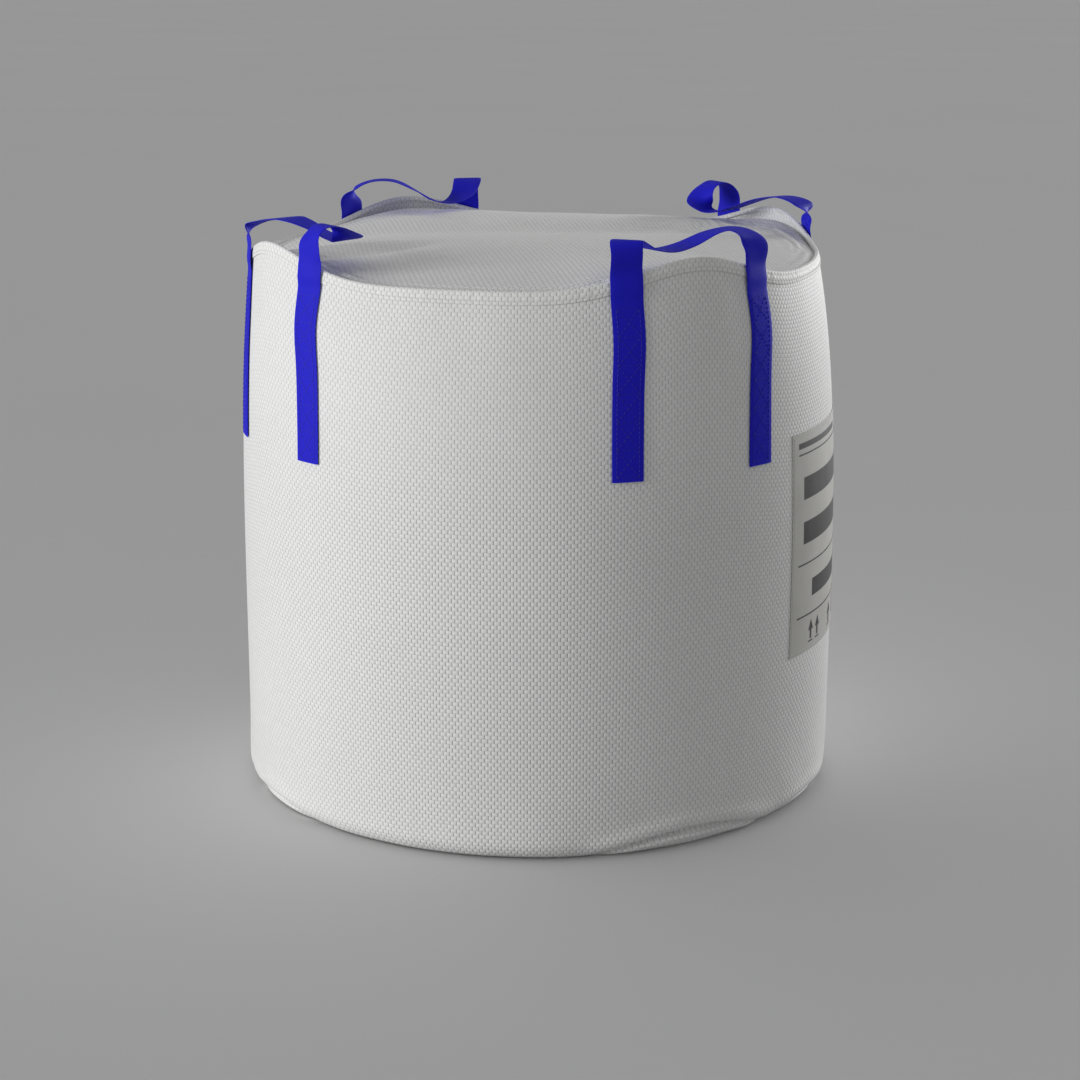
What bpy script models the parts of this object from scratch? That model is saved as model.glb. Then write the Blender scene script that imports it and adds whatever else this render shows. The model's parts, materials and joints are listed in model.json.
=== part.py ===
"""Bulk bag: a filled woven bag with four cross-corner lifting loops.

Frame: +Z is up, the origin is on the floor under the bag's middle, and the front panel faces -Y.
Angles are measured around +Z from the front panel, positive towards the right-hand side (+X).
"""

import math

import bmesh
import bpy
from mathutils import Vector

# Overall sizes
BELLY_RADIUS = 0.558          # widest radius of the filled body
BELLY_HEIGHT = 0.20           # height of that widest place
RIM_LEAN = 0.041              # how far the wall leans in at the rim, in the middle of a side
RIM_HEIGHT = 0.995            # height of the rim, in the middle of a side
CORNER_RISE = 0.050           # how far the rim stands up at each corner
CORNER_SWELL = 0.020          # how far the rim is pulled out at each corner
TAPER_POWER = 4.0             # how late the wall starts to lean in towards the rim
BASE_EDGE = 0.035             # radius of the rounded lower edge
CORNERS = {"fl": -45.0, "fr": 45.0, "br": 135.0, "bl": 225.0}

# Sheets
FABRIC = 0.0015               # thickness of every woven panel
CLEAR = 0.0005                # clearance between neighbouring pieces
FLOOR_CLEAR = 0.0006          # the wall's lower edge stays this far off the floor

# Rim: a folded hem with a filler cord in its fold
HEM_OUTSIDE = 0.022           # depth of the hem's outer leg
HEM_INSIDE = 0.008            # depth of the hem's inner leg
HEM_CORD = 0.0045             # diameter of the filler cord in the fold
STITCH_DROP = 0.016           # height of the chain stitch below the rim
THREAD = 0.0012               # thickness of every sewing thread

# Top panel
TOP_STEP = 0.018              # how far the panel starts below the rim, in the middle of a side
TOP_FOLLOW = 0.45             # share of the corner rise that the panel follows
TOP_CROWN = 0.034             # how far its middle stands above its edge, over the heaped fill
CROWN_POWER = 4               # how late the crown falls away towards the edge
TOP_FILLET = 0.006            # bend between the panel and its upturned edge

# Base panel
BASE_FLANGE = 0.014           # height of its upturned edge
BASE_CORD = 0.005             # diameter of the filler cord beside that edge

# Inside
LINER = 0.001                 # thickness of the liner film
LINER_CLEAR = 0.0030          # clearance between the liner and the woven panels
FILL_CLEAR = 0.0020           # clearance between the fill and the liner
CORE_EDGE = 0.080             # radius of the filled liner's lower edge
CORE_SHOULDER = 0.018         # radius of its upper edge
NECK_RADIUS = 0.030           # outside radius of the liner's gathered neck
NECK_LENGTH = 0.020
NECK_DISH = 0.045             # depth of the dish that the neck stands in
NECK_DISH_RADIUS = 0.200
TIE_THICKNESS = 0.004

# How far the hem and its stitching stand out from the wall
HEM_STEP = CLEAR + FABRIC + CLEAR + THREAD

# Lifting loops
STRAP_WIDTH = 0.055
STRAP_THICKNESS = 0.0025
STRAP_CLEAR = 0.0008          # clearance between a strap and the wall or hem under it
LEG_SPREAD = 14.0             # degrees from the corner to the middle of each leg
LEG_FOOT = 0.677              # height of a leg's lower end
LEG_HEAD = 0.012              # how far a leg reaches above the rim
LOOP_SPLIT = 0.001            # half the space between a leg's upper end and the free loop
BOX_MARGIN = 0.008            # distance from a strap's edges to its box stitching
BOX_ROWS = 6                  # number of fields in each box stitching
STITCH_CLEAR = 0.0008         # clearance between flat stitching and the sheet under it

# Label
LABEL_ANGLE = 90.0
LABEL_WIDTH = 0.407
LABEL_LOW = 0.300
LABEL_HIGH = 0.711
LABEL_THICKNESS = 0.001
LABEL_CLEAR = 0.0008
PRINT_MARGIN = 0.014          # distance from the label's edge to its printed frame
PRINT_LINE = 0.003
PRINT_THICKNESS = 0.0004
PRINT_RULES = (0.39, 0.65, 0.88)   # heights of the printed rules, as shares of the label
STITCH_MARGIN = 0.005         # distance from the label's edge to its stitching

# Mesh density
SEGMENTS = 56                 # around the woven panels
CORE_SEGMENTS = 32            # around the liner and the fill
SWEEP_SIDES = 5

# The free part of each loop, from one leg to the other: (along, out, height) from the middle of
# the hinge line, in metres. "along" runs around the bag and "out" points away from it.
LOOP_ROUTES = {
    "fl": [
        (-0.130, 0.000, 0.001), (-0.131, -0.001, 0.018), (-0.118, -0.010, 0.034), (-0.076, -0.016, 0.043),
        (-0.026, -0.016, 0.051), (0.018, -0.020, 0.055), (0.050, -0.038, 0.046), (0.072, -0.060, 0.030),
        (0.098, -0.080, 0.022), (0.122, -0.076, 0.034), (0.131, -0.050, 0.051), (0.131, -0.020, 0.053),
        (0.130, -0.001, 0.030), (0.130, 0.000, 0.001),
    ],
    "fr": [
        (-0.130, 0.000, 0.001), (-0.130, 0.002, 0.026), (-0.124, -0.010, 0.046), (-0.098, -0.036, 0.041),
        (-0.058, -0.058, 0.026), (-0.012, -0.068, 0.017), (0.034, -0.070, 0.024), (0.078, -0.064, 0.041),
        (0.110, -0.046, 0.049), (0.128, -0.020, 0.040), (0.131, -0.002, 0.020), (0.130, 0.000, 0.001),
    ],
    "br": [
        (-0.130, 0.000, 0.001), (-0.131, 0.001, 0.018), (-0.116, -0.002, 0.035), (-0.070, -0.010, 0.042),
        (-0.022, -0.024, 0.035), (0.022, -0.038, 0.020), (0.064, -0.052, 0.005), (0.098, -0.068, 0.000),
        (0.122, -0.076, 0.014), (0.131, -0.062, 0.038), (0.131, -0.034, 0.054), (0.131, -0.008, 0.046),
        (0.130, 0.001, 0.022), (0.130, 0.000, 0.001),
    ],
    "bl": [
        (-0.130, 0.000, 0.001), (-0.131, 0.002, 0.026), (-0.128, -0.012, 0.046), (-0.114, -0.038, 0.040),
        (-0.090, -0.060, 0.020), (-0.056, -0.070, 0.006), (-0.020, -0.066, 0.012), (0.016, -0.055, 0.034),
        (0.052, -0.036, 0.052), (0.090, -0.014, 0.052), (0.121, 0.000, 0.038), (0.131, 0.001, 0.018),
        (0.130, 0.000, 0.001),
    ],
}
LOOP_STEPS = 34               # pieces along each free loop
LOOP_SIDE_TILT = 0.03         # how far the free loop's outer edge hangs down, as a slope

COLOURS = {
    "woven": ((0.86, 0.86, 0.85), 0.62),
    "cord": ((0.80, 0.80, 0.78), 0.70),
    "film": ((0.88, 0.90, 0.91), 0.25),
    "granules": ((0.78, 0.75, 0.69), 0.80),
    "webbing": ((0.028, 0.024, 0.68), 0.45),
    "blue_thread": ((0.022, 0.020, 0.42), 0.60),
    "label": ((0.66, 0.65, 0.62), 0.55),
    "ink": ((0.035, 0.035, 0.038), 0.50),
}


def clear_scene():
    for thing in list(bpy.data.objects):
        bpy.data.objects.remove(thing, do_unlink=True)


def add_object(name, bm, colour):
    """Turn a bmesh into a named, smooth-shaded object with its own material."""
    bmesh.ops.remove_doubles(bm, verts=bm.verts, dist=1e-6)
    bmesh.ops.recalc_face_normals(bm, faces=bm.faces)
    mesh = bpy.data.meshes.new(name)
    bm.to_mesh(mesh)
    bm.free()
    mesh.shade_smooth()
    mesh.set_sharp_from_angle(angle=math.radians(35.0))
    base, roughness = COLOURS[colour]
    material = bpy.data.materials.new(name)
    material.use_nodes = True
    shader = material.node_tree.nodes["Principled BSDF"]
    shader.inputs["Base Color"].default_value = (*base, 1.0)
    shader.inputs["Roughness"].default_value = roughness
    shader.inputs["Metallic"].default_value = 0.0
    mesh.materials.append(material)
    thing = bpy.data.objects.new(name, mesh)
    bpy.context.scene.collection.objects.link(thing)
    return thing


# The bag's shape: one wall surface and one rim line, which every piece takes its place from.

def lobe(angle):
    """1 at the corners and 0 in the middle of each side."""
    return 0.5 - 0.5 * math.cos(4.0 * angle)


def rim_height(angle):
    return RIM_HEIGHT + CORNER_RISE * lobe(angle) ** 3


def wall_radius(angle, height):
    """Outside radius of the woven wall."""
    rise = max((height - BELLY_HEIGHT) / (rim_height(angle) - BELLY_HEIGHT), 0.0)
    lean = RIM_LEAN - CORNER_SWELL * lobe(angle)
    return BELLY_RADIUS - lean * rise ** TAPER_POWER


def point(angle, radius, height):
    return Vector((radius * math.sin(angle), -radius * math.cos(angle), height))


def top_edge(angle):
    """Height at which the top panel leaves the wall."""
    return RIM_HEIGHT - TOP_STEP + TOP_FOLLOW * (rim_height(angle) - RIM_HEIGHT)


def top_radius(angle):
    """Inside radius of the top panel's upturned edge."""
    return wall_radius(angle, top_edge(angle)) - 2.0 * FABRIC - CLEAR


def top_height(angle, radius):
    """Height of the top panel's upper face."""
    share = radius / top_radius(angle)
    edge = RIM_HEIGHT - TOP_STEP
    return edge + TOP_CROWN * (1.0 - share ** CROWN_POWER) + (top_edge(angle) - edge) * share ** 6


def arc(start, end, steps, middle, radius):
    """Points (radius, height) along an arc between two directions given in degrees."""
    points = []
    for step in range(steps + 1):
        turn = math.radians(start + (end - start) * step / steps)
        points.append((middle[0] + radius * math.cos(turn), middle[1] + radius * math.sin(turn)))
    return points


def lathe(name, colour, section, segments, closed=False, caps=False):
    """Join one section per angle around +Z: a closed ring, or a solid that ends on the axis."""
    bm = bmesh.new()
    rings = []
    for segment in range(segments):
        angle = 2.0 * math.pi * segment / segments
        rings.append([bm.verts.new(point(angle, r, z)) for r, z in section(angle)])
    count = len(rings[0])
    for segment in range(segments):
        here = rings[segment]
        there = rings[(segment + 1) % segments]
        for k in range(count if closed else count - 1):
            n = (k + 1) % count
            bm.faces.new((here[k], there[k], there[n], here[n]))
    # Nested pieces split their twisted quads the same way, so that the space between them is even.
    bmesh.ops.triangulate(bm, faces=bm.faces, quad_method="SHORT_EDGE")
    if caps:
        bm.faces.new([ring[0] for ring in rings])
        bm.faces.new([ring[-1] for ring in rings])
    return add_object(name, bm, colour)


def thread_ring(radius, height, thickness, sides):
    """Section of a round cord or thread that runs around the bag."""
    half = 0.5 * thickness
    turns = [2.0 * math.pi * side / sides for side in range(sides)]
    return [(radius + half * math.cos(turn), height + half * math.sin(turn)) for turn in turns]


# Woven panels

def wall_line(angle, inset, edge, lift, heights):
    """One face of the wall, from under the bag up to the hem, moved in by inset."""
    foot = (BELLY_RADIUS - edge, lift + edge)
    line = arc(-90.0, 0.0, 4, foot, edge - inset)
    for height in heights:
        line.append((wall_radius(angle, height) - inset, height))
    return line


def hem_cord_bottom(angle):
    return rim_height(angle) - FABRIC - HEM_CORD - 2.0 * CLEAR


def body_tube():
    def section(angle):
        top = hem_cord_bottom(angle)
        heights = [BELLY_HEIGHT]
        heights += [BELLY_HEIGHT + share * (top - BELLY_HEIGHT) for share in (0.45, 0.7, 0.84, 0.94, 1.0)]
        outer = wall_line(angle, 0.0, BASE_EDGE, FLOOR_CLEAR, heights)
        inner = wall_line(angle, FABRIC, BASE_EDGE, FLOOR_CLEAR, heights)
        return outer + inner[::-1]

    lathe("body_tube", "woven", section, SEGMENTS, closed=True)


def base_panel():
    radius = BELLY_RADIUS - BASE_EDGE - CLEAR

    def section(angle):
        return [(radius, 0.0), (radius, BASE_FLANGE), (radius - FABRIC, BASE_FLANGE), (radius - FABRIC, FABRIC)]

    lathe("base_panel", "woven", section, SEGMENTS, caps=True)


def base_seam_cord():
    middle = BELLY_RADIUS - BASE_EDGE - FABRIC - 2.0 * CLEAR - 0.5 * BASE_CORD
    height = FABRIC + CLEAR + 0.5 * BASE_CORD

    def section(angle):
        return thread_ring(middle - CLEAR, height, BASE_CORD, SWEEP_SIDES)

    lathe("base_seam_cord", "cord", section, SEGMENTS, closed=True)


def top_panel():
    def section(angle):
        flange = hem_cord_bottom(angle)
        inner = top_radius(angle)
        outer = wall_radius(angle, flange) - FABRIC - CLEAR
        edge = top_edge(angle)
        shares = (0.93, 0.8, 0.6, 0.35, 0.0)
        dish = [(inner * share, top_height(angle, inner * share)) for share in shares]
        bend = (inner - TOP_FILLET, top_height(angle, inner - TOP_FILLET))
        upper = [(outer - FABRIC, flange), (inner, edge + TOP_FILLET), bend] + dish
        drop = [(inner + FABRIC, edge - FABRIC), (outer, flange)]
        lower = [(r, z - FABRIC) for r, z in dish[::-1]]
        return upper + lower + drop

    def solid(angle):
        points = section(angle)
        middle = 3 + 5
        return points[middle:] + points[:middle]

    lathe("top_panel", "woven", solid, SEGMENTS)


def hem_faces(angle):
    """Radius of the hem's four upright faces, from outside to inside, at the rim."""
    wall = wall_radius(angle, rim_height(angle))
    outside = wall + CLEAR + FABRIC
    fold = max(2.0 * FABRIC + 4.0 * CLEAR, HEM_CORD + 3.0 * CLEAR)
    inside = outside - FABRIC - fold
    return outside, outside - FABRIC, inside, inside - FABRIC


def rim_hem():
    def section(angle):
        top = rim_height(angle)
        outside, outside_in, inside_out, inside = hem_faces(angle)
        flare = wall_radius(angle, top - HEM_OUTSIDE) - wall_radius(angle, top)
        bulge = wall_radius(angle, top - HEM_INSIDE) - wall_radius(angle, top)
        fold = FABRIC
        return [
            (outside + flare, top - HEM_OUTSIDE), (outside, top - fold), (outside - fold, top),
            (inside + fold, top), (inside, top - fold), (inside + bulge, top - HEM_INSIDE),
            (inside_out + bulge, top - HEM_INSIDE), (inside_out, top - fold),
            (outside_in, top - fold), (outside_in + flare, top - HEM_OUTSIDE),
        ]

    lathe("rim_hem", "woven", section, SEGMENTS, closed=True)


def rim_cord():
    def section(angle):
        outside, outside_in, inside_out, inside = hem_faces(angle)
        top = rim_height(angle)
        height = top - FABRIC - CLEAR - 0.5 * HEM_CORD
        lean = wall_radius(angle, height) - wall_radius(angle, top)
        middle = 0.5 * (outside_in + inside_out) + lean
        return thread_ring(middle, height, HEM_CORD, SWEEP_SIDES)

    lathe("rim_cord", "cord", section, SEGMENTS, closed=True)


def rim_stitching():
    def section(angle):
        height = rim_height(angle) - STITCH_DROP
        outside = hem_faces(angle)[0] + wall_radius(angle, height) - wall_radius(angle, rim_height(angle))
        return thread_ring(outside + CLEAR + 0.5 * THREAD, height, THREAD, 4)

    lathe("rim_stitching", "cord", section, SEGMENTS, closed=True)


# What is inside

def core_line(angle, inset):
    """The filled liner's face, from the base's middle to the top's middle, moved in by inset."""
    skin = FABRIC + LINER_CLEAR + inset
    edge = BELLY_RADIUS - CORE_EDGE
    line = [(0.0, skin)]
    line += arc(-90.0, 0.0, 3, (edge, CORE_EDGE), CORE_EDGE - skin)
    shoulder = top_edge(angle) - skin - CORE_SHOULDER
    for share in (0.4, 0.75, 1.0):
        height = BELLY_HEIGHT + share * (shoulder - BELLY_HEIGHT)
        line.append((wall_radius(angle, height) - skin, height))
    outer = top_radius(angle) - CORE_SHOULDER - skin
    for share in (1.0, 0.75):
        line.append((outer * share, top_height(angle, outer * share) - skin))
    rim = NECK_DISH_RADIUS
    line.append((rim, top_height(angle, rim) - skin))
    line.append((NECK_RADIUS + CORE_SHOULDER, neck_floor() - inset))
    return line


def neck_floor():
    """Height of the liner's outer face around its neck."""
    return top_height(0.0, 0.0) - NECK_DISH


def inner_liner():
    def section(angle):
        outer = core_line(angle, 0.0)
        inner = core_line(angle, LINER)
        neck = neck_floor() + NECK_LENGTH
        outer += [(NECK_RADIUS, neck_floor()), (NECK_RADIUS, neck)]
        inner += [(NECK_RADIUS - LINER, neck_floor() - LINER), (NECK_RADIUS - LINER, neck)]
        return outer + inner[::-1]

    lathe("inner_liner", "film", section, CORE_SEGMENTS)


def liner_tie():
    middle = NECK_RADIUS + CLEAR + 0.5 * TIE_THICKNESS

    def section(angle):
        return thread_ring(middle, neck_floor() + 0.6 * NECK_LENGTH, TIE_THICKNESS, SWEEP_SIDES)

    lathe("liner_tie", "cord", section, CORE_SEGMENTS, closed=True)


def bulk_fill():
    def section(angle):
        return core_line(angle, LINER + FILL_CLEAR) + [(0.0, neck_floor() - LINER - FILL_CLEAR)]

    lathe("bulk_fill", "granules", section, CORE_SEGMENTS)


# Sheets and straps that lie on the wall

def on_wall(angle, across, height, offset):
    """A point at a distance along the wall from an upright line at angle."""
    turn = angle + across / wall_radius(angle, height)
    return point(turn, wall_radius(turn, height) + offset, height)


def plate(name, colour, columns, rows, place, filled=None):
    """A thin plate on a lattice, with a face wherever filled allows it, closed at its edges."""
    bm = bmesh.new()
    verts = {}

    def corner(i, j, level):
        key = (i, j, level)
        if key not in verts:
            verts[key] = bm.verts.new(place(columns[i], rows[j], level))
        return verts[key]

    def solid(i, j):
        inside = 0 <= i < len(columns) - 1 and 0 <= j < len(rows) - 1
        return inside and (filled is None or filled(i, j))

    for i in range(len(columns) - 1):
        for j in range(len(rows) - 1):
            if not solid(i, j):
                continue
            round_cell = [(i, j), (i + 1, j), (i + 1, j + 1), (i, j + 1)]
            neighbours = [(i, j - 1), (i + 1, j), (i, j + 1), (i - 1, j)]
            for level in (0, 1):
                bm.faces.new([corner(a, b, level) for a, b in round_cell])
            for side in range(4):
                if not solid(*neighbours[side]):
                    a = round_cell[side]
                    b = round_cell[(side + 1) % 4]
                    bm.faces.new((corner(*a, 0), corner(*b, 0), corner(*b, 1), corner(*a, 1)))
    return add_object(name, bm, colour)


def spread(low, high, steps):
    return [low + (high - low) * step / steps for step in range(steps + 1)]


def leg_step(angle, height):
    """How far a leg steps out to pass over the hem and its stitching."""
    foot = rim_height(angle) - HEM_OUTSIDE
    share = (height - foot + 0.014) / 0.010
    return HEM_STEP * min(max(share, 0.0), 1.0)


def leg_place(angle, low, high):
    """Placing function for a plate on a leg, between two offsets from the wall."""
    def place(across, height, level):
        turn = angle + across / wall_radius(angle, height)
        offset = high if level else low
        return on_wall(angle, across, height, offset + leg_step(turn, height))

    return place


def leg_angles(corner):
    middle = math.radians(CORNERS[corner])
    spread_angle = math.radians(LEG_SPREAD)
    return {"a": middle - spread_angle, "b": middle + spread_angle}


def hinge_height(corner):
    return rim_height(leg_angles(corner)["a"]) + LEG_HEAD


def leg_rows(corner):
    """Heights of a leg's rows: even steps up the wall, then close ones across the hem."""
    angles = leg_angles(corner)
    top = hinge_height(corner) - LOOP_SPLIT
    hem = rim_height(angles["a"]) - HEM_OUTSIDE
    return spread(LEG_FOOT, hem - 0.024, 6) + spread(hem - 0.016, hem + 0.008, 4) + [top]


def strap_leg(corner, side):
    angle = leg_angles(corner)[side]
    half = 0.5 * STRAP_WIDTH
    place = leg_place(angle, STRAP_CLEAR, STRAP_CLEAR + STRAP_THICKNESS)
    plate(f"strap_leg_{corner}_{side}", "webbing", spread(-half, half, 3), leg_rows(corner), place)


def line_lattice(low, high, lines, width):
    """Lattice lines for a row of stitched lines: both edges of every line."""
    positions = []
    for line in spread(low, high, lines):
        positions += [line - 0.5 * width, line + 0.5 * width]
    return positions


def strap_stitching(corner, side):
    """Box stitching with cross rows, which holds a leg on the wall."""
    angle = leg_angles(corner)[side]
    half = 0.5 * STRAP_WIDTH - BOX_MARGIN
    face = STRAP_CLEAR + STRAP_THICKNESS + STITCH_CLEAR
    top = rim_height(angle) - HEM_OUTSIDE - 0.030
    place = leg_place(angle, face, face + 0.5 * THREAD)
    columns = line_lattice(-half, half, 1, THREAD)
    rows = line_lattice(LEG_FOOT + BOX_MARGIN, top, BOX_ROWS, THREAD)

    def filled(i, j):
        return i % 2 == 0 or j % 2 == 0

    plate(f"strap_stitching_{corner}_{side}", "blue_thread", columns, rows, place, filled)


# Free loops

def hinge_frame(corner):
    """Middle of the line that a loop swings about, with its two level directions."""
    middle = math.radians(CORNERS[corner])
    out = point(middle, 1.0, 0.0)
    along = Vector((math.cos(middle), math.sin(middle), 0.0))
    height = hinge_height(corner)
    side = leg_angles(corner)["b"]
    edge = -0.5 * STRAP_WIDTH
    reach = STRAP_CLEAR + STRAP_THICKNESS + HEM_STEP
    nearest = on_wall(side, edge, height, reach).dot(out)
    return nearest + 0.001, height, out, along


def loop_start(corner):
    """Where the middle of a leg's thickness ends, out from the bag's axis."""
    out = hinge_frame(corner)[2]
    reach = STRAP_CLEAR + 0.5 * STRAP_THICKNESS + HEM_STEP
    return on_wall(leg_angles(corner)["b"], 0.0, hinge_height(corner), reach).dot(out)


def smooth_route(points, steps):
    """Even points along a smooth curve through the route's own points."""
    dense = []
    for k in range(len(points) - 1):
        before = points[max(k - 1, 0)]
        start, end = points[k], points[k + 1]
        after = points[min(k + 2, len(points) - 1)]
        for step in range(20):
            s = step / 20.0
            a = -0.5 * before + 1.5 * start - 1.5 * end + 0.5 * after
            b = before - 2.5 * start + 2.0 * end - 0.5 * after
            c = 0.5 * (end - before)
            dense.append(((a * s + b) * s + c) * s + start)
    dense.append(points[-1])
    lengths = [0.0]
    for k in range(1, len(dense)):
        lengths.append(lengths[-1] + (dense[k] - dense[k - 1]).length)
    even = []
    k = 0
    for step in range(steps + 1):
        target = lengths[-1] * step / steps
        while k < len(dense) - 2 and lengths[k + 1] < target:
            k += 1
        share = (target - lengths[k]) / (lengths[k + 1] - lengths[k])
        even.append(dense[k].lerp(dense[k + 1], min(max(share, 0.0), 1.0)))
    return even


def heading(line, k):
    """Direction of a free loop at a point: straight up out of one leg, and down into the other."""
    count = len(line) - 1
    if k in (0, count):
        return Vector((0.0, 0.0, 1.0 if k == 0 else -1.0))
    return (line[k + 1] - line[k - 1]).normalized()


def widths_along(line, out, along, skew):
    """The strap's width direction: flat on the wall at both ends, and level where it runs on."""
    up = Vector((0.0, 0.0, 1.0))
    count = len(line) - 1
    widths = []
    for k in range(count + 1):
        ahead = heading(line, k)
        turn = skew if k < count / 2 else -skew
        width = along * math.cos(turn) + out * math.sin(turn)
        level = ahead.cross(up)
        share = min(max((level.length - 0.15) / 0.5, 0.0), 1.0)
        if share > 0.0:
            level.normalize()
            level -= up * LOOP_SIDE_TILT * level.dot(out)
            if widths and level.dot(widths[-1]) < 0.0:
                level = -level
            if width.dot(level) < 0.0:
                width = -width
            width = width.lerp(level, share * share * (3.0 - 2.0 * share))
        width -= ahead * width.dot(ahead)
        width.normalize()
        if widths and width.dot(widths[-1]) < 0.0:
            width = -width
        widths.append(width)
    return widths


def lifting_loop(corner):
    axis_out, height, out, along = hinge_frame(corner)
    start = loop_start(corner)
    origin = out * axis_out + Vector((0.0, 0.0, height))
    foot = leg_foot_offset(corner)
    points = []
    for a, o, z in LOOP_ROUTES[corner]:
        a *= foot / abs(LOOP_ROUTES[corner][0][0])
        points.append(along * a + out * (start + o) + Vector((0.0, 0.0, height + z)))
    line = smooth_route(points, LOOP_STEPS)
    widths = widths_along(line, out, along, math.radians(LEG_SPREAD))
    bm = bmesh.new()
    rings = []
    count = len(line) - 1
    for k in range(count + 1):
        ahead = heading(line, k)
        across = widths[k] * 0.5 * STRAP_WIDTH
        thick = ahead.cross(widths[k]).normalized() * 0.5 * STRAP_THICKNESS
        corners = (across + thick, across - thick, -across - thick, thick - across)
        rings.append([bm.verts.new(line[k] + corner_offset - origin) for corner_offset in corners])
    for k in range(count):
        for side in range(4):
            n = (side + 1) % 4
            bm.faces.new((rings[k][side], rings[k][n], rings[k + 1][n], rings[k + 1][side]))
    bm.faces.new(rings[0])
    bm.faces.new(rings[-1])
    thing = add_object(f"lifting_loop_{corner}", bm, "webbing")
    thing.location = origin


def leg_foot_offset(corner):
    """Half the distance between a loop's two legs, along the hinge line."""
    along = hinge_frame(corner)[3]
    reach = STRAP_CLEAR + 0.5 * STRAP_THICKNESS + HEM_STEP
    return on_wall(leg_angles(corner)["b"], 0.0, hinge_height(corner), reach).dot(along)


# Label

def label_place(low, high):
    angle = math.radians(LABEL_ANGLE)

    def place(across, height, level):
        return on_wall(angle, across, height, high if level else low)

    return place


def label_panel():
    half = 0.5 * LABEL_WIDTH
    place = label_place(LABEL_CLEAR, LABEL_CLEAR + LABEL_THICKNESS)
    plate("label_panel", "label", spread(-half, half, 10), spread(LABEL_LOW, LABEL_HIGH, 8), place)


def label_print():
    """The printed frame and rules of a generic label, as one thin layer."""
    half = 0.5 * LABEL_WIDTH - PRINT_MARGIN
    low = LABEL_LOW + PRINT_MARGIN
    high = LABEL_HIGH - PRINT_MARGIN
    face = LABEL_CLEAR + LABEL_THICKNESS + STITCH_CLEAR
    columns = [-half, PRINT_LINE - half] + spread(-0.8 * half, 0.8 * half, 8) + [half - PRINT_LINE, half]
    bottoms = [low] + [LABEL_LOW + share * (LABEL_HIGH - LABEL_LOW) for share in PRINT_RULES]
    bottoms.append(high - PRINT_LINE)
    rows = [low]
    for bottom, above in zip(bottoms, bottoms[1:]):
        rows += spread(bottom + PRINT_LINE, above, 3)
    rows.append(high)

    def filled(i, j):
        return i in (0, len(columns) - 2) or rows[j + 1] - rows[j] < 1.5 * PRINT_LINE

    plate("label_print", "ink", columns, rows, label_place(face, face + PRINT_THICKNESS), filled)


def label_stitching():
    half = 0.5 * LABEL_WIDTH - STITCH_MARGIN
    face = LABEL_CLEAR + LABEL_THICKNESS + STITCH_CLEAR
    columns = [-half - THREAD] + spread(-half, half, 10) + [half + THREAD]
    low = LABEL_LOW + STITCH_MARGIN
    high = LABEL_HIGH - STITCH_MARGIN
    rows = [low - THREAD] + spread(low, high, 8) + [high + THREAD]

    def filled(i, j):
        return i in (0, len(columns) - 2) or j in (0, len(rows) - 2)

    place = label_place(face, face + 0.5 * THREAD)
    plate("label_stitching", "cord", columns, rows, place, filled)


def build():
    clear_scene()
    body_tube()
    base_panel()
    base_seam_cord()
    top_panel()
    rim_hem()
    rim_cord()
    rim_stitching()
    inner_liner()
    liner_tie()
    bulk_fill()
    label_panel()
    label_print()
    label_stitching()
    for corner in CORNERS:
        for side in ("a", "b"):
            strap_leg(corner, side)
            strap_stitching(corner, side)
        lifting_loop(corner)


build()
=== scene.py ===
"""Looks of the bulk bag: woven cloth, hem, top panel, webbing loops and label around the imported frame."""

import json
import math

import bpy
import numpy as np
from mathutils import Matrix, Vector

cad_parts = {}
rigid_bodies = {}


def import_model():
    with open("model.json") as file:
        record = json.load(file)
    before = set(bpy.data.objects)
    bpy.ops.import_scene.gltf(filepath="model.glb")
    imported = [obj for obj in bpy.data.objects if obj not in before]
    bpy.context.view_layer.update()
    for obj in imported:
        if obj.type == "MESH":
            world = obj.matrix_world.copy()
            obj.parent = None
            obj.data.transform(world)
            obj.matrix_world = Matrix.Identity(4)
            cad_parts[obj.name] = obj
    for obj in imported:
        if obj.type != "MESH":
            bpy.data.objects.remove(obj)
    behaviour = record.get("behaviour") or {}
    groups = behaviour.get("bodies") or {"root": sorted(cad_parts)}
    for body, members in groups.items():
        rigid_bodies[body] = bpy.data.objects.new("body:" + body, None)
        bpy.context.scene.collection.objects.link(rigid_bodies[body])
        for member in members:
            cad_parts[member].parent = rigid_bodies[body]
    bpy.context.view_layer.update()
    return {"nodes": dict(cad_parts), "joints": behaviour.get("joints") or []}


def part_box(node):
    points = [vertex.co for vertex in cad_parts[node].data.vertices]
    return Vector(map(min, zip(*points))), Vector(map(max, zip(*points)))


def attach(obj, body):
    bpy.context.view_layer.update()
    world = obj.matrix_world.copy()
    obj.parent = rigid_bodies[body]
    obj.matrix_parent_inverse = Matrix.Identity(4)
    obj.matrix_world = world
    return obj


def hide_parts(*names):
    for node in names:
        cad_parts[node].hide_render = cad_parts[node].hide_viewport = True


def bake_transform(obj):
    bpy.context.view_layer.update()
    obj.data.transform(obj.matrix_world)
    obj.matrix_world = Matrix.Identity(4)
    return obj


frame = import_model()

MM = 0.001
TAU = 2.0 * math.pi
CLOTH = 1.5 * MM
UP = np.array([0.0, 0.0, 1.0])

# Corners of the bag, in degrees around +Z from the front panel (-Y), positive towards +X.
CORNERS = {"fl": -45.0, "fr": 45.0, "br": 135.0, "bl": 225.0}


# The filled bag's plain shape, measured on the frame's own solids

def node_points(node):
    mesh = frame["nodes"][node].data
    points = np.empty(len(mesh.vertices) * 3)
    mesh.vertices.foreach_get("co", points)
    return points.reshape(-1, 3)


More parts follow.
